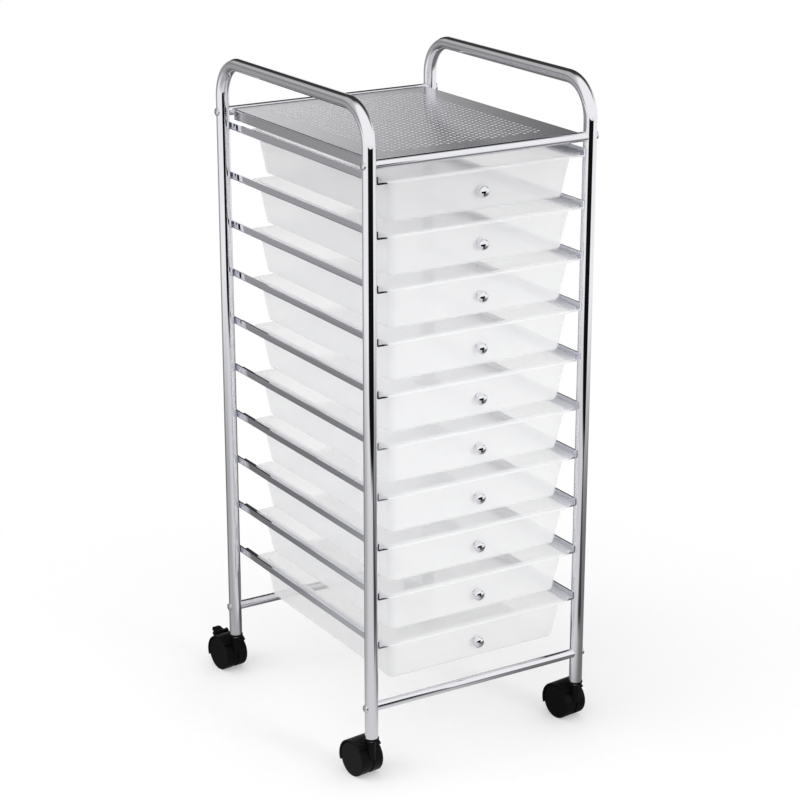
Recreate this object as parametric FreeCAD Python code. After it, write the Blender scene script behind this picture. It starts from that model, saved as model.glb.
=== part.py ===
import FreeCAD, Part
import math
import os

Vec = FreeCAD.Vector

# Side frames: one steel tube per side, bent into an inverted U
POST_SPACING_X = 332.0
POST_SPACING_Y = 389.0
POST_RADIUS = 9.0
POST_WALL = 1.2
POST_BOTTOM_Z = 60.0
HANDLE_AXIS_Z = 905.0
HANDLE_BEND_RADIUS = 50.0
FRAME_CENTRE_Y = -22.0  # puts the box from knob tips to brake levers over the origin

# Cross tubes between the side frames
CROSS_RADIUS = 6.35
CROSS_WALL = 1.0
SHELF_TUBE_Z = 834.5
BOTTOM_TUBE_Z = 103.5

# Screws through the posts, and the threaded plugs that they pull against
SCREW_RADIUS = 2.5
SCREW_HOLE_RADIUS = 2.8
SCREW_HEAD_RADIUS = 5.4
SCREW_HEAD_EDGE = 1.2
SCREW_HEAD_DOME = 1.5
SCREW_REACH = 14.0
RECESS_LENGTH = 5.0
RECESS_WIDTH = 1.0
RECESS_DEPTH = 1.5
NUT_LENGTH = 16.0
FIT_GAP = 0.02  # left between round pieces that are fixed in one another

# Drawer rails: steel angle, welded between the front and rear post of a side
DRAWER_COUNT = 10
DRAWER_PITCH = 69.14
TOP_RAIL_Z = 808.95
RAIL_HEIGHT = 10.6
RAIL_DEPTH = 16.0
RAIL_THICKNESS = 2.4
RAIL_BEND = 2.9
RAIL_OVERHANG = 3.0
RAIL_SEAT = 0.6  # how far the rail is let into the post's round side

# Top shelf: perforated sheet with side flanges
SHELF_HALF_WIDTH = 156.0
SHELF_TOP_Z = 838.5
SHELF_THICKNESS = 1.0
SHELF_BEND = 2.5
SHELF_FLANGE = 14.0
SHELF_FLANGE_SETBACK = 14.0
HOLE_RADIUS = 2.2
HOLE_PITCH = 9.6
HOLE_MARGIN_X = 34.0
HOLE_MARGIN_Y = 34.0

# Drawer trays; heights count from the top of the rail's level leg
TRAY_DEPTH = 56.0
TRAY_WALL = 1.8
TRAY_HALF_TOP = 140.0
TRAY_HALF_BOTTOM = 132.0
TRAY_FRONT_TOP = 2.5  # ahead of the front post axis
TRAY_REAR_TOP = 41.0  # ahead of the rear post axis
TRAY_TAPER_Y = 10.0
TRAY_CORNER_TOP = 12.0
TRAY_CORNER_BOTTOM = 11.0
TRAY_BOTTOM_ROUND = 5.0
RIM_GAP = 0.1
RIM_THICKNESS = 2.4
RIM_HALF_WIDTH = 154.0
RIM_FRONT = 9.5  # ahead of the front post axis
RIM_REAR = 33.0  # ahead of the rear post axis
RIM_CORNER = 20.0
LIP_DROP = 1.4
LIP_THICKNESS = 2.0

# Drawer knobs and the screws that hold them from inside the tray
KNOB_DROP = 28.0  # below the rail's level leg
KNOB_BASE_RADIUS = 6.0
KNOB_NECK_RADIUS = 4.8
KNOB_NECK_LENGTH = 4.0
KNOB_RADIUS = 8.0
KNOB_WIDEST = 7.5
KNOB_LENGTH = 13.0
KNOB_SCREW_RADIUS = 2.0
KNOB_SCREW_REACH = 8.0
KNOB_SCREW_HEAD_RADIUS = 4.0
KNOB_SCREW_HEAD_HEIGHT = 2.2

# Casters; heights count from the floor, and the wheels trail towards the rear
WHEEL_RADIUS = 24.0
WHEEL_INNER_X = 2.4
WHEEL_OUTER_X = 17.5
WHEEL_EDGE_ROUND = 0.8
CASTER_TRAIL = 21.0
CASTER_YAW = 6.5  # degrees, as the cart was last rolled
HOOD_RADIUS = 27.5
HOOD_INNER_RADIUS = 25.2
HOOD_HALF_WIDTH = 18.0
HOOD_REAR_ANGLE = -20.0
HOOD_FRONT_ANGLE = 132.0
WEB_HALF_WIDTH = 2.0
WEB_RADIUS = 22.5  # where the hood doesn't cover the web
BOSS_RADIUS = 5.7
BOSS_BOTTOM_Z = 28.0
BOSS_TOP_Z = 53.6
AXLE_RADIUS = 2.5
AXLE_HALF_LENGTH = 14.0
RUNNING_GAP = 0.05
STEM_RADIUS = 4.0
STEM_BOTTOM_Z = 45.0
STEM_TOP_Z = 90.0
SOCKET_TOP_Z = 92.0
COLLAR_RADIUS = 10.0
COLLAR_HEIGHT = 2.0
NECK_HEIGHT = 1.4

# Brake levers on the rear casters
LEVER_SEAT_ANGLE = 50.0
LEVER_HUB_RADIUS = 3.0
LEVER_CLEARANCE = 0.4
LEVER_HUB_HALF_WIDTH = 9.0
LEVER_PIN_RADIUS = 1.5
LEVER_PADDLE_LENGTH = 14.5
LEVER_PADDLE_HALF_WIDTH = 7.0
LEVER_PADDLE_THICKNESS = 3.4
LEVER_RISE_ANGLE = 9.0
LEVER_TRAVEL = 22.0
SHOE_LENGTH = 5.0
SHOE_RADIUS = 1.6
SHOE_INNER_X = 4.4
SHOE_OUTER_X = 8.6
SHOE_WINDOW_MARGIN = 0.7
SHOE_WINDOW_HALF_SPAN = 6.5
EAR_INNER_X = 9.3
EAR_OUTER_X = 11.8
EAR_RADIUS = 3.6

Y_FRONT = FRAME_CENTRE_Y - POST_SPACING_Y / 2
Y_REAR = FRAME_CENTRE_Y + POST_SPACING_Y / 2
POST_X = POST_SPACING_X / 2
POST_INNER_RADIUS = POST_RADIUS - POST_WALL
CROSS_INNER_RADIUS = CROSS_RADIUS - CROSS_WALL
RAIL_OUTER_X = POST_X - POST_RADIUS + RAIL_SEAT
X_AXIS = Vec(1, 0, 0)
Y_AXIS = Vec(0, 1, 0)
Z_AXIS = Vec(0, 0, 1)
ORIGIN = Vec(0, 0, 0)


def rod(radius, start, end):
    """Round bar from start to end."""
    run = end - start
    return Part.makeCylinder(radius, run.Length, start, run)


def block(x0, x1, y0, y1, z0, z1):
    """Box between two corners."""
    return Part.makeBox(x1 - x0, y1 - y0, z1 - z0, Vec(x0, y0, z0))


def line(start, end):
    return Part.LineSegment(start, end).toShape()


def arc(start, middle, end):
    return Part.Arc(start, middle, end).toShape()


def fused(shapes):
    """One solid from shapes that touch or overlap."""
    return shapes[0].multiFuse(shapes[1:]).removeSplitter()


def post(x, y, radius):
    """Solid cylinder over the straight height of one post."""
    return rod(radius, Vec(x, y, POST_BOTTOM_Z), Vec(x, y, HANDLE_AXIS_Z - HANDLE_BEND_RADIUS))


def side_frame(x):
    """Front post, handle and rear post in one bent tube, drilled for its four screws."""
    bend_z = HANDLE_AXIS_Z - HANDLE_BEND_RADIUS
    inset = HANDLE_BEND_RADIUS * (1 - math.sqrt(0.5))
    front_foot = Vec(x, Y_FRONT, POST_BOTTOM_Z)
    front_bend = Vec(x, Y_FRONT, bend_z)
    front_handle = Vec(x, Y_FRONT + HANDLE_BEND_RADIUS, HANDLE_AXIS_Z)
    rear_handle = Vec(x, Y_REAR - HANDLE_BEND_RADIUS, HANDLE_AXIS_Z)
    rear_bend = Vec(x, Y_REAR, bend_z)
    rear_foot = Vec(x, Y_REAR, POST_BOTTOM_Z)
    path = Part.Wire([
        line(front_foot, front_bend),
        arc(front_bend, Vec(x, Y_FRONT + inset, HANDLE_AXIS_Z - inset), front_handle),
        line(front_handle, rear_handle),
        arc(rear_handle, Vec(x, Y_REAR - inset, HANDLE_AXIS_Z - inset), rear_bend),
        line(rear_bend, rear_foot),
    ])
    outside, inside = [
        path.makePipeShell([Part.Wire(Part.makeCircle(radius, front_foot, Z_AXIS))], True, False)
        for radius in (POST_RADIUS, POST_INNER_RADIUS)
    ]
    reach = Vec(2 * POST_RADIUS, 0, 0)
    screw_points = [Vec(x, y, z) for y in (Y_FRONT, Y_REAR) for z in (SHELF_TUBE_Z, BOTTOM_TUBE_Z)]
    holes = [rod(SCREW_HOLE_RADIUS, point - reach, point + reach) for point in screw_points]
    return outside.cut([inside] + holes)


def cross_tube(y, z):
    """Tube between a left and a right post, its ends coped to the posts' round sides."""
    left = Vec(-POST_X, y, z)
    right = Vec(POST_X, y, z)
    bore = rod(CROSS_INNER_RADIUS, left, right)
    posts = [post(x, y, POST_RADIUS + FIT_GAP) for x in (-POST_X, POST_X)]
    return rod(CROSS_RADIUS, left, right).cut([bore] + posts)


def frame_screw():
    """Pan-head screw pointing inward along -X from a post whose axis passes through the origin."""
    tip = Vec(-POST_RADIUS - SCREW_REACH, 0, 0)
    rim = POST_RADIUS + SCREW_HEAD_EDGE
    crown = rim + SCREW_HEAD_DOME
    dome_radius = (SCREW_HEAD_RADIUS**2 + SCREW_HEAD_DOME**2) / (2 * SCREW_HEAD_DOME)
    edge = rod(SCREW_HEAD_RADIUS, ORIGIN, Vec(rim, 0, 0))
    dome = rod(SCREW_HEAD_RADIUS, Vec(rim, 0, 0), Vec(crown, 0, 0))
    dome = dome.common(Part.makeSphere(dome_radius, Vec(crown - dome_radius, 0, 0)))
    seat = rod(POST_RADIUS + FIT_GAP, Vec(0, 0, -2 * POST_RADIUS), Vec(0, 0, 2 * POST_RADIUS))
    head = fused([edge, dome]).cut(seat)
    half_length = RECESS_LENGTH / 2
    half_width = RECESS_WIDTH / 2
    floor = crown - RECESS_DEPTH
    slots = [
        block(floor, crown, -half_length, half_length, -half_width, half_width),
        block(floor, crown, -half_width, half_width, -half_length, half_length),
    ]
    shank = rod(SCREW_RADIUS, tip, Vec(POST_RADIUS + SCREW_HEAD_EDGE / 2, 0, 0))
    return fused([head, shank]).cut(slots)


def end_nut():
    """Threaded plug in a cross tube's end, for a post whose axis passes through the origin."""
    outer_end = Vec(-POST_RADIUS - FIT_GAP, 0, 0)
    inner_end = outer_end - Vec(NUT_LENGTH, 0, 0)
    plug = rod(CROSS_INNER_RADIUS - FIT_GAP, outer_end, inner_end)
    return plug.cut(rod(SCREW_RADIUS + FIT_GAP, outer_end, inner_end))


def at_screw_points(shape):
    """A copy of the shape at each of the eight screwed joints, facing outward."""
    copies = []
    for side in (-1, 1):
        for y in (Y_FRONT, Y_REAR):
            for z in (SHELF_TUBE_Z, BOTTOM_TUBE_Z):
                turned = shape.copy()
                if side < 0:
                    turned.rotate(ORIGIN, Z_AXIS, 180)
                copies.append(turned.translated(Vec(side * POST_X, y, z)))
    return Part.makeCompound(copies)


def rail(side, z):
    """Angle strip: upright leg against the posts, level leg below it pointing inward."""
    y = Y_FRONT - RAIL_OVERHANG

    def corner(inward, up):
        return Vec(side * (RAIL_OUTER_X - inward), y, z + up)

    inner_bend = RAIL_BEND - RAIL_THICKNESS
    outer_sag = RAIL_BEND - RAIL_BEND * math.sqrt(0.5)
    inner_sag = RAIL_BEND - inner_bend * math.sqrt(0.5)
    profile = Part.Wire([
        line(corner(0, RAIL_HEIGHT), corner(0, RAIL_BEND)),
        arc(corner(0, RAIL_BEND), corner(outer_sag, outer_sag), corner(RAIL_BEND, 0)),
        line(corner(RAIL_BEND, 0), corner(RAIL_DEPTH, 0)),
        line(corner(RAIL_DEPTH, 0), corner(RAIL_DEPTH, RAIL_THICKNESS)),
        line(corner(RAIL_DEPTH, RAIL_THICKNESS), corner(RAIL_BEND, RAIL_THICKNESS)),
        arc(corner(RAIL_BEND, RAIL_THICKNESS), corner(inner_sag, inner_sag),
            corner(RAIL_THICKNESS, RAIL_BEND)),
        line(corner(RAIL_THICKNESS, RAIL_BEND), corner(RAIL_THICKNESS, RAIL_HEIGHT)),
        line(corner(RAIL_THICKNESS, RAIL_HEIGHT), corner(0, RAIL_HEIGHT)),
    ])
    strip = Part.Face(profile).extrude(Y_AXIS * (POST_SPACING_Y + 2 * RAIL_OVERHANG))
    posts = [post(side * POST_X, y, POST_RADIUS + FIT_GAP) for y in (Y_FRONT, Y_REAR)]
    return strip.cut(posts)


def side_rails(side):
    return Part.makeCompound([rail(side, TOP_RAIL_Z - i * DRAWER_PITCH) for i in range(DRAWER_COUNT)])


def shelf_holes():
    """Circles in a staggered pattern, its rows running front to back, wound against the outline."""
    row_step = HOLE_PITCH * math.sqrt(3) / 2
    rows = int((SHELF_HALF_WIDTH - HOLE_MARGIN_X) // row_step)
    half_length = POST_SPACING_Y / 2 - HOLE_MARGIN_Y
    count = int(half_length // HOLE_PITCH)
    holes = []
    for row in range(-rows, rows + 1):
        stagger = HOLE_PITCH / 2 * (1 - row % 2)
        for step in range(-count, count + row % 2):
            centre = Vec(row * row_step, FRAME_CENTRE_Y + step * HOLE_PITCH + stagger, SHELF_TOP_Z)
            holes.append(Part.Wire(Part.makeCircle(HOLE_RADIUS, centre, -Z_AXIS)))
    return holes


def shelf_flange(side):
    """Bent-down edge: a strip of the shelf top, the bend and the upright flange."""
    y = Y_FRONT + SHELF_FLANGE_SETBACK
    inner_bend = SHELF_BEND - SHELF_THICKNESS

    def corner(inward, down):
        return Vec(side * (SHELF_HALF_WIDTH - inward), y, SHELF_TOP_Z - down)

    outer_sag = SHELF_BEND - SHELF_BEND * math.sqrt(0.5)
    inner_sag = SHELF_BEND - inner_bend * math.sqrt(0.5)
    profile = Part.Wire([
        line(corner(2 * SHELF_BEND, 0), corner(SHELF_BEND, 0)),
        arc(corner(SHELF_BEND, 0), corner(outer_sag, outer_sag), corner(0, SHELF_BEND)),
        line(corner(0, SHELF_BEND), corner(0, SHELF_FLANGE)),
        line(corner(0, SHELF_FLANGE), corner(SHELF_THICKNESS, SHELF_FLANGE)),
        line(corner(SHELF_THICKNESS, SHELF_FLANGE), corner(SHELF_THICKNESS, SHELF_BEND)),
        arc(corner(SHELF_THICKNESS, SHELF_BEND), corner(inner_sag, inner_sag),
            corner(SHELF_BEND, SHELF_THICKNESS)),
        line(corner(SHELF_BEND, SHELF_THICKNESS), corner(2 * SHELF_BEND, SHELF_THICKNESS)),
        line(corner(2 * SHELF_BEND, SHELF_THICKNESS), corner(2 * SHELF_BEND, 0)),
    ])
    return Part.Face(profile).extrude(Y_AXIS * (POST_SPACING_Y - 2 * SHELF_FLANGE_SETBACK))


def shelf_panel():
    """Perforated sheet between the shelf tubes, with a flange down each side."""
    half_width = SHELF_HALF_WIDTH - SHELF_BEND
    corners = [
        Vec(-half_width, Y_FRONT, SHELF_TOP_Z),
        Vec(half_width, Y_FRONT, SHELF_TOP_Z),
        Vec(half_width, Y_REAR, SHELF_TOP_Z),
        Vec(-half_width, Y_REAR, SHELF_TOP_Z),
    ]
    outline = Part.makePolygon(corners + corners[:1])
    sheet = Part.Face([outline] + shelf_holes()).extrude(Z_AXIS * -SHELF_THICKNESS)
    tubes = [
        rod(CROSS_RADIUS + FIT_GAP, Vec(-POST_X, y, SHELF_TUBE_Z), Vec(POST_X, y, SHELF_TUBE_Z))
        for y in (Y_FRONT, Y_REAR)
    ]
    front_strip = block(-POST_X, POST_X, Y_FRONT - CROSS_RADIUS, Y_FRONT, SHELF_TUBE_Z, HANDLE_AXIS_Z)
    rear_strip = block(-POST_X, POST_X, Y_REAR, Y_REAR + CROSS_RADIUS, SHELF_TUBE_Z, HANDLE_AXIS_Z)
    sheet = sheet.cut(tubes + [front_strip, rear_strip])
    return fused([sheet, shelf_flange(-1), shelf_flange(1)])


def rounded_rectangle(half_x, y0, y1, radius, z):
    """Closed wire of four sides joined by quarter-circle corners."""
    sag = radius * (1 - math.sqrt(0.5))
    x0, x1 = -half_x, half_x
    return Part.Wire([
        line(Vec(x0 + radius, y0, z), Vec(x1 - radius, y0, z)),
        arc(Vec(x1 - radius, y0, z), Vec(x1 - sag, y0 + sag, z), Vec(x1, y0 + radius, z)),
        line(Vec(x1, y0 + radius, z), Vec(x1, y1 - radius, z)),
        arc(Vec(x1, y1 - radius, z), Vec(x1 - sag, y1 - sag, z), Vec(x1 - radius, y1, z)),
        line(Vec(x1 - radius, y1, z), Vec(x0 + radius, y1, z)),
        arc(Vec(x0 + radius, y1, z), Vec(x0 + sag, y1 - sag, z), Vec(x0, y1 - radius, z)),
        line(Vec(x0, y1 - radius, z), Vec(x0, y0 + radius, z)),
        arc(Vec(x0, y0 + radius, z), Vec(x0 + sag, y0 + sag, z), Vec(x0 + radius, y0, z)),
    ])


def tray_body(inset, bottom_z, round_radius):
    """Tapered block with rounded corners and bottom, set in by inset from the tray's outside."""
    top_z = RIM_GAP + RIM_THICKNESS
    share = (bottom_z + TRAY_DEPTH) / (top_z + TRAY_DEPTH)
    half_bottom = TRAY_HALF_BOTTOM + share * (TRAY_HALF_TOP - TRAY_HALF_BOTTOM)
    taper = TRAY_TAPER_Y * (1 - share)
    front = Y_FRONT - TRAY_FRONT_TOP + inset
    rear = Y_REAR - TRAY_REAR_TOP - inset
    wires = [
        rounded_rectangle(half_bottom - inset, front + taper, rear - taper, TRAY_CORNER_BOTTOM - inset,
                          bottom_z),
        rounded_rectangle(TRAY_HALF_TOP - inset, front, rear, TRAY_CORNER_TOP - inset, top_z),
    ]
    body = Part.makeLoft(wires, True, True)
    bottom = [edge for edge in body.Edges if edge.BoundBox.ZMax < bottom_z + FIT_GAP]
    return body.makeFillet(round_radius, bottom)


def knob_placement():
    """Where a knob meets the sloping front wall, square to it."""
    height = TRAY_DEPTH + RIM_GAP + RIM_THICKNESS
    slope = TRAY_TAPER_Y / height
    y = Y_FRONT - TRAY_FRONT_TOP + slope * (KNOB_DROP + RIM_GAP + RIM_THICKNESS)
    tilt = FreeCAD.Rotation(X_AXIS, math.degrees(math.atan(slope)))
    return FreeCAD.Placement(Vec(0, y, -KNOB_DROP), tilt)


def tray():
    """Open tray with a level rim, a lip under the rim's front edge and a hole for the knob's screw."""
    rim_front = Y_FRONT - RIM_FRONT
    plate = Part.Face(rounded_rectangle(RIM_HALF_WIDTH, rim_front, Y_REAR - RIM_REAR, RIM_CORNER, RIM_GAP))
    lip_half = RIM_HALF_WIDTH - RIM_CORNER
    lip = block(-lip_half, lip_half, rim_front, rim_front + LIP_THICKNESS,
                RIM_GAP - LIP_DROP, RIM_GAP + RIM_THICKNESS)
    shell = fused([
        tray_body(0, -TRAY_DEPTH, TRAY_BOTTOM_ROUND),
        plate.extrude(Z_AXIS * RIM_THICKNESS),
        lip,
    ])
    hollow = tray_body(TRAY_WALL, TRAY_WALL - TRAY_DEPTH, TRAY_BOTTOM_ROUND - TRAY_WALL)
    hole = rod(SCREW_RADIUS, Vec(0, -KNOB_LENGTH, 0), Vec(0, KNOB_LENGTH, 0))
    hole.Placement = knob_placement()
    return shell.cut([hollow, hole])


def knob():
    """Turned knob: flared base, narrow neck and domed head, drilled for its screw."""
    def at(radius, out):
        return Vec(radius, -out, 0)

    shoulder = at(KNOB_RADIUS, KNOB_WIDEST)
    rise = KNOB_LENGTH - KNOB_WIDEST
    dome_radius = (KNOB_RADIUS**2 + rise**2) / (2 * rise)
    half_angle = math.asin(KNOB_RADIUS / dome_radius) / 2
    dome_middle = at(dome_radius * math.sin(half_angle),
                     KNOB_LENGTH - dome_radius * (1 - math.cos(half_angle)))
    profile = Part.Wire([
        line(ORIGIN, at(KNOB_BASE_RADIUS, 0)),
        line(at(KNOB_BASE_RADIUS, 0), at(KNOB_NECK_RADIUS, KNOB_NECK_LENGTH)),
        line(at(KNOB_NECK_RADIUS, KNOB_NECK_LENGTH), shoulder),
        arc(shoulder, dome_middle, at(0, KNOB_LENGTH)),
        line(at(0, KNOB_LENGTH), ORIGIN),
    ])
    turned = Part.Face(profile).revolve(ORIGIN, Y_AXIS, 360)
    thread = rod(KNOB_SCREW_RADIUS + FIT_GAP, ORIGIN, Vec(0, -KNOB_SCREW_REACH - FIT_GAP, 0))
    shaped = turned.cut(thread)
    shaped.Placement = knob_placement()
    return shaped


def knob_screw():
    """Screw with its head inside the tray and its thread in the knob."""
    seat = Vec(0, TRAY_WALL + FIT_GAP, 0)
    head = rod(KNOB_SCREW_HEAD_RADIUS, seat, seat + Y_AXIS * KNOB_SCREW_HEAD_HEIGHT)
    shank = rod(KNOB_SCREW_RADIUS, seat, Vec(0, -KNOB_SCREW_REACH, 0))
    screw = fused([head, shank])
    screw.Placement = knob_placement()
    return screw


def axle_point(x, radius, angle):
    """Point of a caster at a distance from its axle; angle counts from the rear, upward."""
    turn = math.radians(angle)
    return Vec(x, CASTER_TRAIL + radius * math.cos(turn), WHEEL_RADIUS + radius * math.sin(turn))


def axle_disc(radius, x0, x1):
    """Disc or bar on a caster's axle."""
    return rod(radius, axle_point(x0, 0, 0), axle_point(x1, 0, 0))


def turned_on_axle(shape, angle):
    """Copy of a shape, turned about a caster's axle towards the front."""
    turned = shape.copy()
    turned.rotate(axle_point(0, 0, 0), X_AXIS, angle)
    return turned


def hood_sector():
    """Wedge from the axle over the part of the wheels that the hood covers."""
    far = 2 * HOOD_RADIUS
    middle_angle = (HOOD_REAR_ANGLE + HOOD_FRONT_ANGLE) / 2
    corners = [
        axle_point(-far, 0, 0),
        axle_point(-far, far, HOOD_REAR_ANGLE),
        axle_point(-far, 2 * far, middle_angle),
        axle_point(-far, far, HOOD_FRONT_ANGLE),
    ]
    return Part.Face(Part.makePolygon(corners + corners[:1])).extrude(X_AXIS * 2 * far)


def lever_pivot(x):
    return axle_point(x, HOOD_RADIUS + LEVER_HUB_RADIUS + LEVER_CLEARANCE, LEVER_SEAT_ANGLE)


def caster_hood(braked):
    """Housing: middle web with axle bore, curved hood, stem boss and, if braked, the lever's ears."""
    cover = axle_disc(HOOD_RADIUS, -HOOD_HALF_WIDTH, HOOD_HALF_WIDTH)
    cover = cover.cut(axle_disc(HOOD_INNER_RADIUS, -HOOD_HALF_WIDTH, HOOD_HALF_WIDTH))
    sector = hood_sector()
    web = axle_disc(HOOD_INNER_RADIUS + FIT_GAP, -WEB_HALF_WIDTH, WEB_HALF_WIDTH).common(sector)
    boss = rod(BOSS_RADIUS, Vec(0, 0, BOSS_BOTTOM_Z), Vec(0, 0, BOSS_TOP_Z))
    wheel_room = [
        axle_disc(HOOD_INNER_RADIUS, side * WEB_HALF_WIDTH, side * HOOD_HALF_WIDTH) for side in (-1, 1)
    ]
    pieces = [
        cover.common(sector),
        web,
        axle_disc(WEB_RADIUS, -WEB_HALF_WIDTH, WEB_HALF_WIDTH),
        boss.cut(wheel_room),
    ]
    cuts = [
        axle_disc(AXLE_RADIUS + RUNNING_GAP, -HOOD_HALF_WIDTH, HOOD_HALF_WIDTH),
        rod(STEM_RADIUS + FIT_GAP, Vec(0, 0, STEM_BOTTOM_Z), Vec(0, 0, BOSS_TOP_Z)),
    ]
    if braked:
        for side in (-1, 1):
            ear = rod(EAR_RADIUS, lever_pivot(side * EAR_INNER_X), lever_pivot(side * EAR_OUTER_X))
            root = rod(EAR_RADIUS, axle_point(side * EAR_INNER_X, HOOD_RADIUS, LEVER_SEAT_ANGLE),
                       axle_point(side * EAR_OUTER_X, HOOD_RADIUS, LEVER_SEAT_ANGLE))
            pieces.append(fused([ear, root]).cut(wheel_room))
            inner, outer = sorted((side * (SHOE_INNER_X - SHOE_WINDOW_MARGIN),
                                   side * (SHOE_OUTER_X + SHOE_WINDOW_MARGIN)))
            window = block(inner, outer, CASTER_TRAIL, CASTER_TRAIL + 2 * HOOD_RADIUS,
                           WHEEL_RADIUS - SHOE_WINDOW_HALF_SPAN, WHEEL_RADIUS + SHOE_WINDOW_HALF_SPAN)
            window = window.cut(axle_disc(WHEEL_RADIUS, inner, outer))
            cuts.append(turned_on_axle(window, LEVER_SEAT_ANGLE))
        cuts.append(rod(LEVER_PIN_RADIUS + RUNNING_GAP, lever_pivot(-HOOD_HALF_WIDTH),
                        lever_pivot(HOOD_HALF_WIDTH)))
    return fused(pieces).cut(cuts)


def caster_stem():
    return rod(STEM_RADIUS, Vec(0, 0, STEM_BOTTOM_Z), Vec(0, 0, STEM_TOP_Z))


def caster_axle():
    return axle_disc(AXLE_RADIUS, -AXLE_HALF_LENGTH, AXLE_HALF_LENGTH)


def caster_wheels():
    """Two wheels, each bored for the end of the axle and closed on its outer side."""
    wheels = []
    for side in (-1, 1):
        wheel = axle_disc(WHEEL_RADIUS, side * WHEEL_INNER_X, side * WHEEL_OUTER_X)
        rims = [edge for edge in wheel.Edges if edge.BoundBox.XLength < FIT_GAP]
        wheel = wheel.makeFillet(WHEEL_EDGE_ROUND, rims)
        bore_end = side * (AXLE_HALF_LENGTH + FIT_GAP)
        wheels.append(wheel.cut(axle_disc(AXLE_RADIUS + FIT_GAP, 0, bore_end)))
    return Part.makeCompound(wheels)


def brake_lever():
    """Foot lever: hub with pivot pins, paddle to the rear and two shoes through the hood."""
    pivot = lever_pivot(0)
    hub = rod(LEVER_HUB_RADIUS, lever_pivot(-LEVER_HUB_HALF_WIDTH), lever_pivot(LEVER_HUB_HALF_WIDTH))
    pins = rod(LEVER_PIN_RADIUS, lever_pivot(-EAR_OUTER_X), lever_pivot(EAR_OUTER_X))
    half_width = LEVER_PADDLE_HALF_WIDTH
    half_thickness = LEVER_PADDLE_THICKNESS / 2
    paddle = block(-half_width, half_width, 0, LEVER_PADDLE_LENGTH, -half_thickness, half_thickness)
    tip_edges = [
        edge for edge in paddle.Edges
        if edge.BoundBox.YMin > LEVER_PADDLE_LENGTH / 2 and edge.BoundBox.ZLength > half_thickness
    ]
    paddle = paddle.makeFillet(half_width / 2, tip_edges)
    paddle.rotate(ORIGIN, X_AXIS, LEVER_RISE_ANGLE)
    pieces = [hub, pins, paddle.translated(pivot)]
    inward = axle_point(0, -1, LEVER_SEAT_ANGLE) - axle_point(0, 0, 0)
    shoe_turn = FreeCAD.Rotation(X_AXIS, LEVER_TRAVEL)
    shoe_offset = shoe_turn.multVec(inward) * SHOE_LENGTH
    for side in (-1, 1):
        near = lever_pivot(side * SHOE_INNER_X)
        across = X_AXIS * side * (SHOE_OUTER_X - SHOE_INNER_X)
        web = rod(SHOE_RADIUS, near + shoe_offset / 2, near + shoe_offset / 2 + across)
        pad = rod(SHOE_RADIUS, near + shoe_offset, near + shoe_offset + across)
        pieces += [web, pad]
    return fused(pieces)


def caster_socket(x, y):
    """Plastic plug with a collar, pressed into a post's lower end and bored for the caster stem."""
    collar_z = POST_BOTTOM_Z - COLLAR_HEIGHT
    neck_z = collar_z - NECK_HEIGHT
    collar = rod(COLLAR_RADIUS, Vec(x, y, collar_z), Vec(x, y, POST_BOTTOM_Z))
    plug = rod(POST_INNER_RADIUS - FIT_GAP, Vec(x, y, neck_z), Vec(x, y, SOCKET_TOP_Z))
    bore = rod(STEM_RADIUS + RUNNING_GAP, Vec(x, y, neck_z), Vec(x, y, SOCKET_TOP_Z))
    return fused([collar, plug]).cut(bore)


def on_caster(shape, x, y):
    """Copy of a caster piece under the post at x, y, turned to the way that the wheels trail."""
    placed = shape.copy()
    placed.rotate(ORIGIN, Z_AXIS, CASTER_YAW)
    return placed.translated(Vec(x, y, 0))


def frame_nodes():
    corners = [(x, y) for x in (-POST_X, POST_X) for y in (Y_FRONT, Y_REAR)]
    return {
        "left_side_frame": side_frame(-POST_X),
        "right_side_frame": side_frame(POST_X),
        "left_rails": side_rails(-1),
        "right_rails": side_rails(1),
        "shelf_panel": shelf_panel(),
        "shelf_front_tube": cross_tube(Y_FRONT, SHELF_TUBE_Z),
        "shelf_rear_tube": cross_tube(Y_REAR, SHELF_TUBE_Z),
        "bottom_front_tube": cross_tube(Y_FRONT, BOTTOM_TUBE_Z),
        "bottom_rear_tube": cross_tube(Y_REAR, BOTTOM_TUBE_Z),
        "frame_screws": at_screw_points(frame_screw()),
        "tube_end_nuts": at_screw_points(end_nut()),
        "caster_sockets": Part.makeCompound([caster_socket(x, y) for x, y in corners]),
    }


def drawer_nodes():
    pieces = {"tray": tray(), "knob": knob(), "knob_screw": knob_screw()}
    nodes = {}
    for i in range(DRAWER_COUNT):
        level = Vec(0, 0, TOP_RAIL_Z + RAIL_THICKNESS - i * DRAWER_PITCH)
        for name, shape in pieces.items():
            nodes[f"drawer_{i + 1:02d}_{name}"] = shape.translated(level)
    return nodes


def caster_nodes():
    nodes = {}
    for end, y, braked in (("front", Y_FRONT, False), ("rear", Y_REAR, True)):
        pieces = {
            "caster_hood": caster_hood(braked),
            "caster_stem": caster_stem(),
            "caster_axle": caster_axle(),
            "caster_wheels": caster_wheels(),
        }
        if braked:
            pieces["brake_lever"] = brake_lever()
        for hand, x in (("left", -POST_X), ("right", POST_X)):
            for name, shape in pieces.items():
                nodes[f"{end}_{hand}_{name}"] = on_caster(shape, x, y)
    return nodes


os.makedirs("parts", exist_ok=True)
for name, shape in {**frame_nodes(), **drawer_nodes(), **caster_nodes()}.items():
    if not shape.isValid():
        raise ValueError(f"{name} is not a valid shape")
    shape.exportStep(f"parts/{name}.step")
    print(name, len(shape.Solids), round(shape.Volume))
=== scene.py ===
import math

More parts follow.
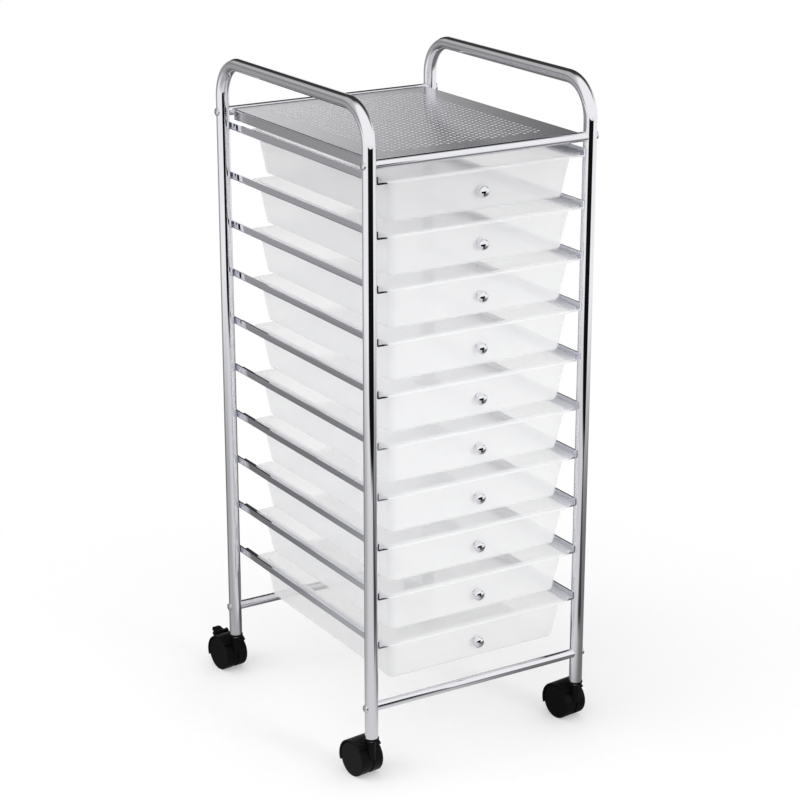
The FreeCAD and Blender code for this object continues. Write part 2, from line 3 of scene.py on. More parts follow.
import bmesh
import bpy
import numpy as np
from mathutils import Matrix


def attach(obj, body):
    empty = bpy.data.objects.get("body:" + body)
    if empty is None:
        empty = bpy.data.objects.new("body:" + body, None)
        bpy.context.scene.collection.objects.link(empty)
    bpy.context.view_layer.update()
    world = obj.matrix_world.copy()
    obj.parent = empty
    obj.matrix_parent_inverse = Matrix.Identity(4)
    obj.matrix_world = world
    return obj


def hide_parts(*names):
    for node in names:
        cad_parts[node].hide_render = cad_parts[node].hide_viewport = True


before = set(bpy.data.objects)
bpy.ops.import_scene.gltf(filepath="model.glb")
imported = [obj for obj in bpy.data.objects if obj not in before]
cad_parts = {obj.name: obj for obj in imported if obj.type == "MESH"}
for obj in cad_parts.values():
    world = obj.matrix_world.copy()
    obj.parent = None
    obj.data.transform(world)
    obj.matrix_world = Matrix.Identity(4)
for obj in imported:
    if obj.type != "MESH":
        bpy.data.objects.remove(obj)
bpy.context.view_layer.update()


# Side frames: on each side one steel tube, 18 mm across, bent cold into an inverted U that is
# front post, handle and rear post in one. It is plated with mirror-bright chrome.
SIDES = {"left": -1, "right": 1}
POST_X = 0.166
FRONT_Y = -0.2165
REAR_Y = 0.1725
FOOT_Z = 0.06
HANDLE_Z = 0.905
POST_RADIUS = 0.009
BEND_RADIUS = 0.05
BEND_POINTS = 33
ROUND_POINTS = 64
SHARP_ANGLE = 35
EQUAL_WITHIN = 1e-6


class Value:
    """A socket of a material's nodes. Arithmetic on it adds Math nodes, and node() adds any other."""

    def __init__(self, tree, socket=None):
        self.tree = tree
        self.socket = socket

    def node(self, kind, settings=None, inputs=None, out=0):
        """New node: its settings first, then the values or links of its sockets."""
        made = self.tree.nodes.new(kind)
        for key, setting in (settings or {}).items():
            setattr(made, key, setting)
        for key, entry in (inputs or {}).items():
            if isinstance(entry, Value):
                self.tree.links.new(entry.socket, made.inputs[key])
            else:
                made.inputs[key].default_value = entry
        return Value(self.tree, made.outputs[out]) if made.outputs else None

    def math(self, operation, a, b):
        """The operation on two numbers, each a Value or a plain one."""
        return self.node("ShaderNodeMath", {"operation": operation}, {0: a, 1: b})

    def __add__(self, other):
        return self.math("ADD", self, other)

    def __radd__(self, other):
        return self.math("ADD", other, self)

    def __sub__(self, other):
        return self.math("SUBTRACT", self, other)

    def __rsub__(self, other):
        return self.math("SUBTRACT", other, self)

    def __mul__(self, other):
        return self.math("MULTIPLY", self, other)

    def __rmul__(self, other):
        return self.math("MULTIPLY", other, self)


def new_material(name):
    """An empty node material and the Value that adds nodes to it."""
    made = bpy.data.materials.new(name)
    made.use_nodes = True
    made.node_tree.nodes.clear()
    return made, Value(made.node_tree)


def noise(v, scale, detail=2.0, stretch=(1, 1, 1)):
    """Soft blotches of about 1/scale metres on Object coordinates, longer along a small stretch."""
    place = v.node("ShaderNodeTexCoord", out="Object")
    place = v.node("ShaderNodeMapping", inputs={"Vector": place, "Scale": stretch})
    return v.node("ShaderNodeTexNoise", inputs={"Vector": place, "Scale": scale, "Detail": detail})


def colour(entry):
    """A Value as it is, or red, green and blue made opaque."""
    return entry if isinstance(entry, Value) else (*entry, 1)


def between(v, share, low, high):
    """Colour that runs from low to high as share goes from 0 to 1."""
    return v.node("ShaderNodeMix", {"data_type": "RGBA"},
                  {"Factor": share, "A": colour(low), "B": colour(high)}, out=2)


def polish(v, streak):
    """Two patterns of polished plate, drawn out along a small streak: broad drift and fine streaks."""
    return noise(v, 9, stretch=streak), noise(v, 160, 4.0, stretch=streak)


def metal(name, dull, bright, roughness, roughness_spread, streak=(1, 1, 1)):
    """Plated steel: its grey drifts a little over the piece, and polishing left faint streaks."""
    made, v = new_material(name)
    drift, streaks = polish(v, streak)
    surface = v.node("ShaderNodeBsdfPrincipled", inputs={
        "Base Color": between(v, drift, dull, bright),
        "Metallic": 1.0,
        "Roughness": roughness + roughness_spread * streaks,
    })
    v.node("ShaderNodeOutputMaterial", inputs={"Surface": surface})
    return made


def piece(name, sheets, material, body, node, closed=True, crease=SHARP_ANGLE):
    """Object from sheets of points. Neighbours in a sheet are joined by quads, and its last column
    to its first where it is closed. Equal points are merged and faces turned outward."""
    corners, quads, start = [], [], 0
    for points in sheets:
        index = start + np.arange(points.shape[0] * points.shape[1]).reshape(points.shape[:2])
        if closed:
            index = np.hstack([index, index[:, :1]])
        quad = [index[:-1, :-1], index[1:, :-1], index[1:, 1:], index[:-1, 1:]]
        quads.append(np.stack(quad, -1).reshape(-1, 4))
        corners.append(points.reshape(-1, 3))
        start += len(corners[-1])
    mesh = bpy.data.meshes.new(name)
    mesh.from_pydata(np.vstack(corners).tolist(), [], np.vstack(quads).tolist())
    shape = bmesh.new()
    shape.from_mesh(mesh)
    bmesh.ops.remove_doubles(shape, verts=shape.verts, dist=EQUAL_WITHIN)
    bmesh.ops.recalc_face_normals(shape, faces=shape.faces)
    shape.to_mesh(mesh)
    shape.free()
    mesh.shade_smooth()
    mesh.set_sharp_from_angle(angle=math.radians(crease))
    mesh.materials.append(material)
    made = bpy.data.objects.new(name, mesh)
    bpy.context.scene.collection.objects.link(made)
    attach(made, body)
    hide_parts(node)


def capped(rings):
    """Rings with each end closed by a flat disc round its middle."""
    ends = [np.broadcast_to(rings[i].mean(0), rings[i].shape)[None] for i in (0, -1)]
    return np.concatenate([ends[0], rings, ends[1]])


def turn_angles(count):
    """Evenly spaced angles of one full turn."""
    return np.linspace(0, 2 * np.pi, count, endpoint=False)


def tube_along(path, side, radius):
    """Tube: circles of the radius, square to a path that stays in the plane whose normal is side."""
    ahead = np.gradient(path, axis=0)
    ahead /= np.linalg.norm(ahead, axis=1, keepdims=True)
    across = np.cross(ahead, side)[:, None]
    turn = turn_angles(ROUND_POINTS)[:, None]
    return path[:, None] + radius * (np.cos(turn) * np.asarray(side) + np.sin(turn) * across)


chrome = metal("bright_chrome", dull=(0.8, 0.802, 0.84), bright=(0.87, 0.87, 0.905),
               roughness=0.03, roughness_spread=0.015, streak=(1, 1, 0.1))
bend = np.linspace(0, np.pi / 2, BEND_POINTS)
front_bend = np.stack([0 * bend, FRONT_Y + BEND_RADIUS * (1 - np.cos(bend)),
                       HANDLE_Z - BEND_RADIUS * (1 - np.sin(bend))], -1)
rear_bend = front_bend[::-1] * (1, -1, 1) + (0, FRONT_Y + REAR_Y, 0)
frame_path = np.vstack([(0, FRONT_Y, FOOT_Z), front_bend, rear_bend, (0, REAR_Y, FOOT_Z)])
for hand, side in SIDES.items():
    rings = tube_along(frame_path + (side * POST_X, 0, 0), (1.0, 0, 0), POST_RADIUS)
    piece(f"{hand}_bent_tube", [capped(rings)], chrome, "frame", f"{hand}_side_frame")


# Cross tubes: four thinner tubes between the side frames, two under the shelf's ends and two near
# the floor. Their ends are coped to the round posts, and screws through the posts pull them tight.
CROSS_RADIUS = 0.00635
SHELF_TUBE_Z = 0.8345
BOTTOM_TUBE_Z = 0.1035
CROSS_RINGS = 9


def coped_tube(y, z):
    """At angle a round the tube it lies r cos a beside the post's axis, so that a post of radius R
    is met sqrt(R^2 - (r cos a)^2) short of that axis."""
    turn = turn_angles(ROUND_POINTS)
    beside = CROSS_RADIUS * np.cos(turn)
    reach = POST_X - np.sqrt(POST_RADIUS**2 - beside**2)
    along = np.linspace(-1, 1, CROSS_RINGS)[:, None] * reach
    across = np.broadcast_to(y + beside, along.shape)
    height = np.broadcast_to(z + CROSS_RADIUS * np.sin(turn), along.shape)
    return capped(np.stack([along, across, height], -1))


for place, height in (("shelf", SHELF_TUBE_Z), ("bottom", BOTTOM_TUBE_Z)):
    for end, y in (("front", FRONT_Y), ("rear", REAR_Y)):
        piece(f"{place}_{end}_coped_tube", [coped_tube(y, height)], chrome, "frame",
              f"{place}_{end}_tube")


# Frame screws: zinc-plated pan heads with a cross recess, one at each end of each cross tube. The
# heads sit on the outer side of the posts, a little saddle-shaped underneath, and turn into nuts
# that are pressed in the tubes' ends.
SCREW_RADIUS = 0.0054
SCREW_EDGE = 0.0012
SCREW_DOME = 0.0015
DOME_POWER = 2.6
RECESS_HALF_LENGTH = 0.0025
RECESS_HALF_WIDTH = 0.0006
RECESS_DEPTH = 0.0013
RECESS_SOFT_EDGE = 0.00025
HEAD_RINGS = 40
HEAD_ROUND_POINTS = 96


def smooth_step(low, high, values):
    """0 up to low and 1 from high on; between them 3 s^2 - 2 s^3 of the share s of the way."""
    share = np.clip((values - low) / (high - low), 0, 1)
    return share * share * (3 - 2 * share)


def screw_head():
    """Over a disc, the height is a shallow dome less a cross of two slots with softened edges; a
    skirt then drops to the post. Points are (out from the post's axis, across, up)."""
    share = np.linspace(0, 1, HEAD_RINGS)[:, None]
    turn = turn_angles(HEAD_ROUND_POINTS)
    across = SCREW_RADIUS * share * np.cos(turn)
    up = SCREW_RADIUS * share * np.sin(turn)
    lies = np.maximum(np.abs(across), np.abs(up))
    off = np.minimum(np.abs(across), np.abs(up))
    long_enough = 1 - smooth_step(RECESS_HALF_LENGTH, RECESS_HALF_LENGTH + RECESS_SOFT_EDGE, lies)
    near_enough = 1 - smooth_step(RECESS_HALF_WIDTH, RECESS_HALF_WIDTH + RECESS_SOFT_EDGE, off)
    crown = POST_RADIUS + SCREW_EDGE + SCREW_DOME * (1 - share**DOME_POWER)
    face = np.stack([crown - RECESS_DEPTH * long_enough * near_enough, across, up], -1)
    skirt = face[-1:].copy()
    skirt[..., 0] = np.sqrt(POST_RADIUS**2 - across[-1:]**2)
    return np.concatenate([face, skirt])


def dress(node, material):
    """Gives a CAD node, which stays as it is, its material."""
    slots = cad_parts[node].data.materials
    slots.clear()
    slots.append(material)


zinc = metal("zinc_plate", dull=(0.62, 0.63, 0.65), bright=(0.78, 0.78, 0.79),
             roughness=0.16, roughness_spread=0.12)
head = screw_head()
heads = [
    head * (side, side, 1) + (side * POST_X, y, z)
    for side in SIDES.values() for y in (FRONT_Y, REAR_Y) for z in (SHELF_TUBE_Z, BOTTOM_TUBE_Z)
]
piece("pan_head_screws", heads, zinc, "frame", "frame_screws")
dress("tube_end_nuts", zinc)


# Drawer rails: strips of thin steel folded into an angle and spot-welded to the inner side of the
# posts, ten on each side. The level leg carries the drawer's rim, and the upright leg guides it.
RAIL_OUTER_X = 0.1576
RAIL_HEIGHT = 0.0106
RAIL_DEPTH = 0.016
RAIL_THICKNESS = 0.0024
RAIL_BEND = 0.0029
RAIL_BEND_POINTS = 9
RAIL_OVERHANG = 0.003
TOP_RAIL_Z = 0.80895
DRAWER_PITCH = 0.06914
DRAWER_COUNT = 10


def angle_line(inset):
    """The angle's outline, moved inward by inset: down the upright leg, a quarter round of the bend
    and along the level leg. Points are (inward from the outer face, above the underside)."""
    fold = np.linspace(0, np.pi / 2, RAIL_BEND_POINTS)
    radius = RAIL_BEND - inset
    round_part = np.stack([RAIL_BEND - radius * np.cos(fold), RAIL_BEND - radius * np.sin(fold)], -1)
    return np.vstack([(inset, RAIL_HEIGHT), round_part, (RAIL_DEPTH, inset)])


def rail_sheets(side, level):
    """The two faces of the folded strip from end to end, its two cut ends and its two long edges."""
    ends = np.array([FRONT_Y - RAIL_OVERHANG, REAR_Y + RAIL_OVERHANG])[:, None]
    outside, inside = [
        np.stack(np.broadcast_arrays(side * (RAIL_OUTER_X - inward), ends, level + above), -1)
        for inward, above in (angle_line(0).T, angle_line(RAIL_THICKNESS).T)
    ]
    cut_ends = [np.stack([outside[i], inside[i]]) for i in (0, 1)]
    edges = [np.stack([outside[:, i], inside[:, i]]) for i in (0, -1)]
    return [outside, inside, *cut_ends, *edges]


rail_chrome = metal("rail_chrome", dull=(0.75, 0.755, 0.81), bright=(0.83, 0.833, 0.885),
                    roughness=0.05, roughness_spread=0.03, streak=(1, 0.05, 1))
for hand, side in SIDES.items():
    sheets = []
    for i in range(DRAWER_COUNT):
        sheets += rail_sheets(side, TOP_RAIL_Z - i * DRAWER_PITCH)
    piece(f"{hand}_angle_rails", sheets, rail_chrome, "frame", f"{hand}_rails", closed=False)


# Top shelf: a chrome-plated sheet with rows of round perforations, its long edges bent down into
# flanges and its ends lying on the two shelf tubes. The punched edges of the holes are dull, and
# their pale colour is painted light that stands in for the brightness seen through the holes.
SHEET_DULL = (0.61, 0.606, 0.64)
SHEET_BRIGHT = (0.69, 0.686, 0.72)
SHEET_STREAK = (1, 0.08, 1)
# Pale colour of the holes' walls: painted light in place of the brightness seen through the holes.
HOLE_WALL_PAINTED_LIGHT = (0.72, 0.72, 0.74)
PUNCHED_HALF_WIDTH = 0.13
FIELD_FADE = 1e-4


def ramp(v, value, low, high, start=0.0, end=1.0):
    """Number that goes smoothly from start to end while value goes from low to high."""
    return v.node("ShaderNodeMapRange", {"interpolation_type": "SMOOTHSTEP"},
                  {"Value": value, "From Min": low, "From Max": high, "To Min": start, "To Max": end})


def parts(v, vector):
    """The x, y and z of a vector."""
    return [v.node("ShaderNodeSeparateXYZ", inputs={"Vector": vector}, out=axis) for axis in "XYZ"]


def perforated_sheet():
    """Brushed plated sheet. Walls of the holes are where the face stands upright inside the field."""
    made, v = new_material("shelf_chrome")
    drift, streaks = polish(v, SHEET_STREAK)
    x, _, _ = parts(v, v.node("ShaderNodeTexCoord", out="Object"))
    _, _, up = parts(v, v.node("ShaderNodeNewGeometry", out="True Normal"))
    upright = ramp(v, up * up, 0.1, 0.3, 1.0, 0.0)
    inside = ramp(v, x * x, PUNCHED_HALF_WIDTH**2, PUNCHED_HALF_WIDTH**2 + FIELD_FADE, 1.0, 0.0)
    wall = upright * inside
    surface = v.node("ShaderNodeBsdfPrincipled", inputs={
        # The holes' walls get the pale colour, painted light for the brightness seen through the holes.
        "Base Color": between(v, wall, between(v, drift, SHEET_DULL, SHEET_BRIGHT), HOLE_WALL_PAINTED_LIGHT),
        "Metallic": 1 - 0.8 * wall,
        "Roughness": 0.2 + 0.04 * streaks + 0.5 * wall,
    })
    v.node("ShaderNodeOutputMaterial", inputs={"Surface": surface})
    return made


dress("shelf_panel", perforated_sheet())


# Drawer trays: moulded from frosted, translucent polypropylene, tapered so that they leave the
# mould. A level rim runs all round and rests on the rails, and a lip stiffens its front edge.
TRAY_DEPTH = 0.056
TRAY_WALL = 0.0018
TRAY_TOP = 0.0025
TRAY_HALF_TOP = 0.14
TRAY_HALF_BOTTOM = 0.132
TRAY_FRONT = FRONT_Y - 0.0025
TRAY_REAR = REAR_Y - 0.041
TRAY_TAPER = 0.01
CORNER_TOP = 0.012
CORNER_BOTTOM = 0.011
BOTTOM_ROUND = 0.005
BOTTOM_ROUND_POINTS = 7
RIM_HALF_WIDTH = 0.154
RIM_FRONT = FRONT_Y - 0.0095
RIM_REAR = REAR_Y - 0.033
RIM_CORNER = 0.02
LEAST_CORNER = 0.001
RIM_UNDERSIDE = 0.0001
LIP_DROP = 0.0014
LIP_THICKNESS = 0.002
LIP_START = 0.6
EDGE_ROUND = 0.0004
CORNER_POINTS = 12
SIDE_POINTS = 10
MILKY_DULL = (0.985, 0.986, 0.99)
MILKY_BRIGHT = (0.994, 0.995, 0.998)
MILKY_THROUGH = (0.995, 0.995, 0.998)


def rounded_rings(half_x, front, rear, corner):
    """Rounded rectangles, one row for each entry: quarter circles of the corner radius at the four
    corners, with evenly spaced points on the straight sides between. Points are (x, y)."""
    quarter = np.linspace(0, np.pi / 2, CORNER_POINTS)
    starts = np.array([np.pi, 1.5 * np.pi, 0, 0.5 * np.pi])
    turn = starts[:, None] + quarter
    x_sign = np.array([-1, 1, 1, -1])[:, None]
    at_front = np.array([True, True, False, False])[:, None]
    half_x, front, rear, corner = (a[:, None, None] for a in (half_x, front, rear, corner))
    x = x_sign * (half_x - corner) + corner * np.cos(turn)
    y = np.where(at_front, front + corner, rear - corner) + corner * np.sin(turn)
    arcs = np.stack([x, y], -1)
    share = np.linspace(0, 1, SIDE_POINTS + 2)[1:-1, None]
    sides = arcs[:, :, -1:] + share * (np.roll(arcs, -1, axis=1)[:, :, :1] - arcs[:, :, -1:])
    return np.concatenate([arcs, sides], axis=2).reshape(len(arcs), -1, 2)


def lifted(rings, height):
    """Flat rings, each at its own height."""
    return np.concatenate([rings, np.broadcast_to(height[:, None, None], (*rings.shape[:2], 1))], -1)


def tray_rings(inset, height):
    """Rings of the tapered body at some heights, set in from its outside."""
    inset, height = np.asarray(inset, float), np.asarray(height, float)
    share = (height + TRAY_DEPTH) / (TRAY_TOP + TRAY_DEPTH)
    half_x = TRAY_HALF_BOTTOM + share * (TRAY_HALF_TOP - TRAY_HALF_BOTTOM)
    in_y = TRAY_TAPER * (1 - share) + inset
    corner = CORNER_BOTTOM + share * (CORNER_TOP - CORNER_BOTTOM)
    return lifted(rounded_rings(half_x - inset, TRAY_FRONT + in_y, TRAY_REAR - in_y, corner - inset), height)


def rim_rings(inset, height):
    """Rings of the rim's edge at some insets and heights."""
    inset, height = np.asarray(inset, float), np.asarray(height, float)
    corner = np.maximum(RIM_CORNER - inset, LEAST_CORNER)
    return lifted(rounded_rings(RIM_HALF_WIDTH - inset, RIM_FRONT + inset, RIM_REAR - inset, corner), height)


def tray_sheet():
    """One closed skin from the middle of the inner floor up the inner wall, over the rim and its
    lip, and down the outer wall to the middle of the underside."""
    fold = np.linspace(0, np.pi / 2, BOTTOM_ROUND_POINTS)
    inner_round = BOTTOM_ROUND - TRAY_WALL
    inner = tray_rings(
        np.append(TRAY_WALL + inner_round * (1 - np.sin(fold)), TRAY_WALL),
        np.append(TRAY_WALL - TRAY_DEPTH + inner_round * (1 - np.cos(fold)), TRAY_TOP - EDGE_ROUND))
    inner_edge = tray_rings([TRAY_WALL - EDGE_ROUND], [TRAY_TOP])
    edge = rim_rings(EDGE_ROUND * np.array([1, 0.3, 0]), TRAY_TOP - EDGE_ROUND * np.array([0, 0.3, 1]))
    low = RIM_UNDERSIDE
    lip = rim_rings([0, EDGE_ROUND, LIP_THICKNESS - EDGE_ROUND, LIP_THICKNESS],
                    [low + EDGE_ROUND, low, low, low + 0.5 * EDGE_ROUND])
    corner_drop = smooth_step(LIP_START, 1, np.linspace(0, 1, CORNER_POINTS))
    front_drop = np.concatenate([corner_drop, np.ones(SIDE_POINTS), corner_drop[::-1]])
    lip[:, :len(front_drop), 2] -= LIP_DROP * front_drop
    underside = np.concatenate([rim_rings([LIP_THICKNESS + EDGE_ROUND], [low]), tray_rings([0], [low])])
    outer = tray_rings(
        np.append(0, BOTTOM_ROUND * (1 - np.sin(fold[::-1]))),
        np.append(low - EDGE_ROUND, BOTTOM_ROUND * (1 - np.cos(fold[::-1])) - TRAY_DEPTH))
    return capped(np.concatenate([inner, inner_edge, edge, lip, underside, outer]))


def bumps(v, height, strength, distance):
    """Normal that is tilted as a relief of the height, up to the distance, would tilt it."""
    return v.node("ShaderNodeBump", inputs={"Height": height, "Strength": strength, "Distance": distance})


def frosted():
    """Frosted plastic: a milky skin that lets light through, faint flow marks and a fine grain."""
    made, v = new_material("frosted_polypropylene")
    flow = noise(v, 14, 3.0)
    grain = noise(v, 900)
    skin = v.node("ShaderNodeBsdfPrincipled", inputs={
        "Base Color": between(v, flow, MILKY_DULL, MILKY_BRIGHT),
        "Roughness": 0.3 + 0.15 * grain,
        "IOR": 1.49,
        "Specular IOR Level": 0.4,
        "Normal": bumps(v, grain, strength=0.08, distance=0.0002),
    })
    through = v.node("ShaderNodeBsdfTranslucent", inputs={"Color": colour(MILKY_THROUGH)})
    milky = v.node("ShaderNodeMixShader", inputs={0: 0.5, 1: skin, 2: through})
    clear = v.node("ShaderNodeBsdfTransparent", inputs={"Color": (1, 1, 1, 1)})
    surface = v.node("ShaderNodeMixShader", inputs={0: 0.55 + 0.06 * flow, 1: milky, 2: clear})
    v.node("ShaderNodeOutputMaterial", inputs={"Surface": surface})
    return made


tray_plastic = frosted()
one_tray = tray_sheet()
levels = [TOP_RAIL_Z + RAIL_THICKNESS - i * DRAWER_PITCH for i in range(DRAWER_COUNT)]
for number, level in enumerate(levels, 1):
    drawer = f"drawer_{number:02d}"
    piece(f"tray_{number:02d}", [one_tray + (0, 0, level)], tray_plastic, drawer,
          f"{drawer}_tray")


# Drawer knobs: turned metal with a narrow neck and a domed head, chrome-plated, each held square to
# the sloping front wall by a screw from inside the tray.
KNOB_DROP = 0.028
KNOB_BASE_RADIUS = 0.006
KNOB_BASE = 0.0008
KNOB_NECK_START = 0.0014
KNOB_NECK = 0.004
KNOB_NECK_RADIUS = 0.0048
KNOB_NECK_FLARE = 0.0003
KNOB_NECK_POINTS = 4
KNOB_RADIUS = 0.008
KNOB_WIDEST = 0.0075
KNOB_LENGTH = 0.013
SHOULDER_IN = np.array([0.0008, 0.0002])
SHOULDER_BACK = np.array([0.0014, 0.0006])
DOME_POINTS = 17
KNOB_SHARP_ANGLE = 50


def lathe(radius, out, base, axis, side):
    """Turned shape: each (radius, out) of a profile makes a circle round the axis, that far out."""
    turn = turn_angles(ROUND_POINTS)[:, None]
    circle = np.cos(turn) * side + np.sin(turn) * np.cross(axis, side)
    return base + out[:, None, None] * axis + radius[:, None, None] * circle


slope = TRAY_TAPER / (TRAY_DEPTH + TRAY_TOP)
tilt = math.atan(slope)
knob_axis = np.array([0, -math.cos(tilt), -math.sin(tilt)])
knob_base = np.array([0, TRAY_FRONT + slope * (KNOB_DROP + TRAY_TOP), -KNOB_DROP])
dome_turn = np.linspace(0, np.pi / 2, DOME_POINTS)
knob_radius = np.concatenate([
    [0, KNOB_BASE_RADIUS, KNOB_BASE_RADIUS],
    np.linspace(KNOB_NECK_RADIUS + KNOB_NECK_FLARE, KNOB_NECK_RADIUS, KNOB_NECK_POINTS),
    KNOB_RADIUS - SHOULDER_IN,
    KNOB_RADIUS * np.cos(dome_turn),
])
knob_out = np.concatenate([
    [0, 0, KNOB_BASE],
    np.linspace(KNOB_NECK_START, KNOB_NECK, KNOB_NECK_POINTS),
    KNOB_WIDEST - SHOULDER_BACK,
    KNOB_WIDEST + (KNOB_LENGTH - KNOB_WIDEST) * np.sin(dome_turn),
])
one_knob = lathe(knob_radius, knob_out, knob_base, knob_axis, np.array([1.0, 0, 0]))
for number, level in enumerate(levels, 1):
    drawer = f"drawer_{number:02d}"
    piece(f"knob_{number:02d}", [one_knob + (0, 0, level)], chrome, drawer,
          f"{drawer}_knob", crease=KNOB_SHARP_ANGLE)
    dress(f"{drawer}_knob_screw", zinc)


# Caster sockets: black plastic plugs pressed into the feet of the posts; the collar that shows
# below each foot keeps the caster's stem in line.
BLACK = (0.003, 0.003, 0.0034)
RUBBED_BLACK = (0.006, 0.006, 0.0064)


def moulded(name, dark, pale, roughness):
    """Black moulded plastic: a fine spark-eroded grain and slightly greyer rubbed patches."""
    made, v = new_material(name)
    rubbed = noise(v, 40, 3.0)
    grain = noise(v, 1600)
    surface = v.node("ShaderNodeBsdfPrincipled", inputs={
        "Base Color": between(v, rubbed, dark, pale),
        "Roughness": roughness + 0.12 * rubbed,
        "Specular IOR Level": 0.07,
        "Normal": bumps(v, grain, strength=0.15, distance=0.0002),
    })
    v.node("ShaderNodeOutputMaterial", inputs={"Surface": surface})
    return made


black_plastic = moulded("black_nylon", BLACK, RUBBED_BLACK, roughness=0.38)
dress("caster_sockets", black_plastic)


# Casters: twin wheels under a black nylon hood that swivels on a steel stem. The wheels are pressed
# on one axle through the hood's middle web, and the rear pair has a foot lever that brakes them.
WORN_BLACK = (0.005, 0.005, 0.0054)
wheel_plastic = moulded("wheel_nylon", BLACK, WORN_BLACK, roughness=0.35)
for end in ("front", "rear"):
    for hand in SIDES:
        dress(f"{end}_{hand}_caster_hood", black_plastic)
        dress(f"{end}_{hand}_caster_stem", zinc)
        dress(f"{end}_{hand}_caster_axle", zinc)
        dress(f"{end}_{hand}_caster_wheels", wheel_plastic)
        if end == "rear":
            dress(f"{end}_{hand}_brake_lever", black_plastic)


# Studio: the cart stands on white paper that runs out of sight, under an even room and three soft
# lamps. Its chrome mirrors other tones: paper that is greyer towards the back and has a dark strip
# in front, a dark card standing at the front, and a room that is darker at the back.
FLOOR_SIZE = 60.0
SHADOW_RADIUS = 0.32
PLAIN_RADIUS = 0.9
SHADOW_GLOW = 0.3
PAPER_BOUNCE = 0.52
PAPER_SHOWN = 0.38
PAPER_FIBRES = 0.03
PAPER_LEFT = 0.42
PAPER_RIGHT = 0.15
PAPER_FRONT = 0.72
PAPER_REAR = 0.35
WHITE_FROM = 0.9
WHITE_BEYOND = 2.6
STRIP_DARK = 0.85
MIRRORED_GLOW = 0.9
CARD_LEFT = -1.28
CARD_RIGHT = 0.5
CARD_Y = -1.2
CARD_BOTTOM = 0.01
CARD_FADE = 0.1
CARD_TOP = 0.7
CARD_BLACK = (0.006, 0.006, 0.006)
FILL_LEFT = 0.96
FILL_RIGHT = 0.89
BACK_GREY = 0.28
BACK_PALE = 0.9
BACK_DARK = 0.95
HIGH_LEFT = 0.5
HIGH_RIGHT = 0.04
SIDE_DARK = 0.95
CAMERA_PLACE = (-1.5516, -2.5562, 1.4487)
CAMERA_DOWN = 18.62
CAMERA_RIGHT = 31.43
CAMERA_LENS = 102.3


def stage_sheet(name, corners, material):
    """Flat four-cornered sheet that isn't part of the cart."""
    mesh = bpy.data.meshes.new(name)
    mesh.from_pydata(corners, [], [(0, 1, 2, 3)])
    mesh.materials.append(material)
    made = bpy.data.objects.new(name, mesh)
    bpy.context.scene.collection.objects.link(made)
    return made


paper, v = new_material("white_paper")
ground = v.node("ShaderNodeTexCoord", out="Object")
away = v.node("ShaderNodeVectorMath", {"operation": "LENGTH"}, {0: ground}, out="Value")
towards = v.node("ShaderNodeVectorMath", {"operation": "NORMALIZE"}, {0: ground}, out="Vector")
x, behind, _ = parts(v, towards)
across, ahead, _ = parts(v, ground)
seen = v.node("ShaderNodeLightPath", out="Is Camera Ray")
mirrored = v.node("ShaderNodeLightPath", out="Is Glossy Ray")
# What the chrome mirrors of the paper: paler at the front left, white far off and darker behind, with
# the dark strip in front of the right half.
far_tone = ramp(v, x, -0.6, 0.0, PAPER_LEFT, PAPER_RIGHT)
front_left = ramp(v, -0.53 * x - 0.85 * behind, 0.45, 1.02)
near_tone = far_tone + front_left * (PAPER_FRONT - far_tone)
tone = near_tone + ramp(v, away, WHITE_FROM, WHITE_BEYOND) * (1 - near_tone)
tone = tone * ramp(v, behind, 0.55, 0.85, 1.0, PAPER_REAR)
strip = ramp(v, across, -0.08, 0.04) * ramp(v, across, 0.3, 0.45, 1.0, 0.0)
strip = strip * ramp(v, ahead, -0.6, -0.48, 1.0, 0.0)
tone = tone * (1 - STRIP_DARK * strip)
# What the camera sees of it: the cart's shadow near by, going over into plain white.
fibres = noise(v, 60, 3.0)
lit = v.node("ShaderNodeBsdfDiffuse", inputs={
    "Color": PAPER_BOUNCE + PAPER_SHOWN * seen + PAPER_FIBRES * fibres})
glow = v.node("ShaderNodeEmission", inputs={"Color": seen + mirrored * tone, "Strength": 1.0})
seen_glow = seen * ramp(v, away, SHADOW_RADIUS, PLAIN_RADIUS, SHADOW_GLOW, 1.0)
mirrored_glow = mirrored * (MIRRORED_GLOW + (1 - MIRRORED_GLOW) * strip)
surface = v.node("ShaderNodeMixShader", inputs={0: seen_glow + mirrored_glow, 1: lit, 2: glow})
v.node("ShaderNodeOutputMaterial", inputs={"Surface": surface})
half = FLOOR_SIZE / 2
stage_sheet("paper_floor", [(-half, -half, 0), (half, -half, 0), (half, half, 0), (-half, half, 0)], paper)

black_card, v = new_material("black_card")
_, _, height = parts(v, v.node("ShaderNodeTexCoord", out="Object"))
dark = v.node("ShaderNodeEmission", inputs={"Color": colour(CARD_BLACK), "Strength": 1.0})
clear = v.node("ShaderNodeBsdfTransparent", inputs={"Color": (1, 1, 1, 1)})
solid = ramp(v, height, CARD_BOTTOM, CARD_BOTTOM + CARD_FADE)
surface = v.node("ShaderNodeMixShader", inputs={0: solid, 1: clear, 2: dark})
v.node("ShaderNodeOutputMaterial", inputs={"Surface": surface})
card = stage_sheet("front_card", [
    (CARD_LEFT, CARD_Y, CARD_BOTTOM), (CARD_RIGHT, CARD_Y, CARD_BOTTOM),
    (CARD_RIGHT, CARD_Y, CARD_TOP), (CARD_LEFT, CARD_Y, CARD_TOP)], black_card)
card.visible_camera = False
card.visible_diffuse = False
card.visible_transmission = False
card.visible_shadow = False

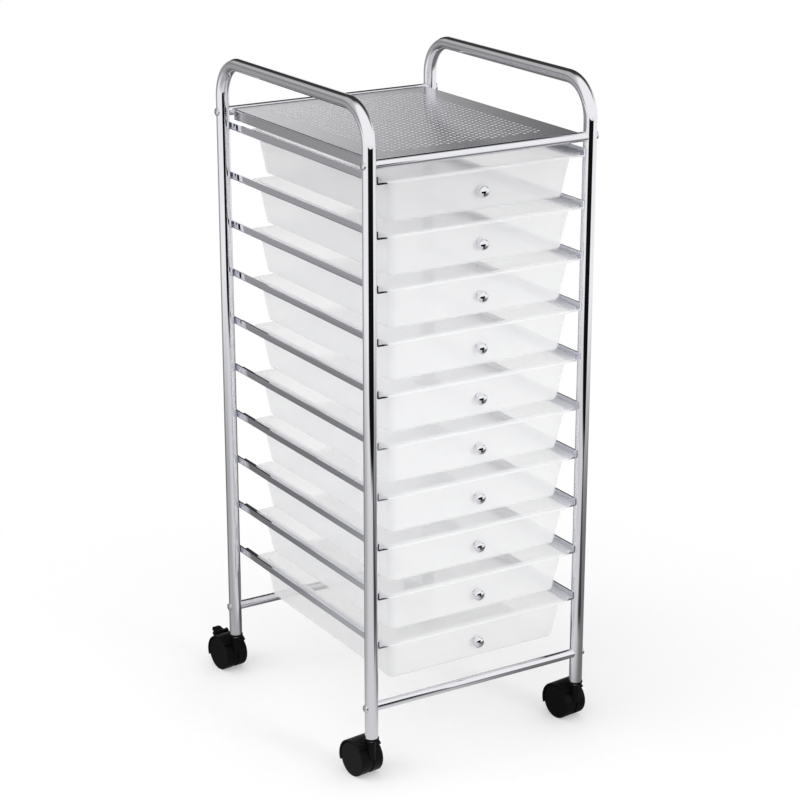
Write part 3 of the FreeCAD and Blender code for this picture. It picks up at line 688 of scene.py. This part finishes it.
# The room is white to the camera and an even fill to the plastics; the chrome mirrors pale and dark
# bands at its back and a dark upper right side.
world = bpy.data.worlds.new("studio")
bpy.context.scene.world = world
world.use_nodes = True
world.node_tree.nodes.clear()
v = Value(world.node_tree)
x, y, rise = parts(v, v.node("ShaderNodeTexCoord", out="Generated"))
back = ramp(v, y, 0.1, 0.5)
pale = ramp(v, x - 0.05 * y, -0.1, 0.1, 0.0, BACK_PALE)
dark = ramp(v, x - 0.62 * y, -0.1, 0.1, 0.0, BACK_DARK)
low_tone = BACK_GREY + pale - dark
high_tone = ramp(v, x, -0.25, 0.0, HIGH_LEFT, HIGH_RIGHT)
back_tone = low_tone + ramp(v, rise, 0.2, 0.3) * (high_tone - low_tone)
dark_side = ramp(v, 0.75 * x + 0.66 * y, 0.2, 0.6) * ramp(v, rise, 0.2, 0.5)
room_tone = (1 - back) * (1 - SIDE_DARK * dark_side) + back * back_tone
mirrored = v.node("ShaderNodeLightPath", out="Is Glossy Ray")
seen = v.math("MAXIMUM", v.node("ShaderNodeLightPath", out="Is Camera Ray"),
              v.node("ShaderNodeLightPath", out="Is Transmission Ray"))
fill = v.node("ShaderNodeBackground", inputs={
    "Color": ramp(v, x, -0.1, 0.7, FILL_LEFT, FILL_RIGHT), "Strength": 1.0})
room = v.node("ShaderNodeBackground", inputs={"Color": seen + mirrored * room_tone, "Strength": 1.0})
shown = v.node("ShaderNodeMixShader", inputs={0: seen + mirrored, 1: fill, 2: room})
v.node("ShaderNodeOutputWorld", inputs={"Surface": shown})


def soft_box(name, place, aim, width, height, power):
    """Area lamp at a place, turned to face a point; the chrome mirrors the room instead of it."""
    lamp = bpy.data.lights.new(name, "AREA")
    lamp.shape = "RECTANGLE"
    lamp.size = width
    lamp.size_y = height
    lamp.energy = power
    made = bpy.data.objects.new(name, lamp)
    made.location = place
    x, y, z = np.subtract(aim, place)
    made.rotation_euler = (math.atan2(math.hypot(x, y), -z), 0, math.atan2(-x, y))
    made.visible_camera = False
    made.visible_glossy = False
    bpy.context.scene.collection.objects.link(made)


soft_box("key_box", place=(-1.6, -2.2, 2.6), aim=(0, 0, 0.5), width=2.0, height=2.0, power=12)
soft_box("left_box", place=(-2.4, 0.4, 1.4), aim=(0, 0, 0.5), width=1.5, height=2.2, power=16)
soft_box("front_box", place=(1.47, -5.04, 1.22), aim=(0, 0, 0.7), width=1.4, height=1.0, power=102)

camera_data = bpy.data.cameras.new("camera")
camera_data.lens = CAMERA_LENS
camera = bpy.data.objects.new("camera", camera_data)
camera.location = CAMERA_PLACE
camera.rotation_euler = (math.radians(90 - CAMERA_DOWN), 0, math.radians(-CAMERA_RIGHT))
bpy.context.scene.collection.objects.link(camera)
bpy.context.scene.camera = camera
bpy.context.scene.view_settings.view_transform = "Standard"
bpy.context.scene.cycles.max_bounces = 20
bpy.context.scene.cycles.diffuse_bounces = 16
bpy.context.scene.cycles.transparent_max_bounces = 32
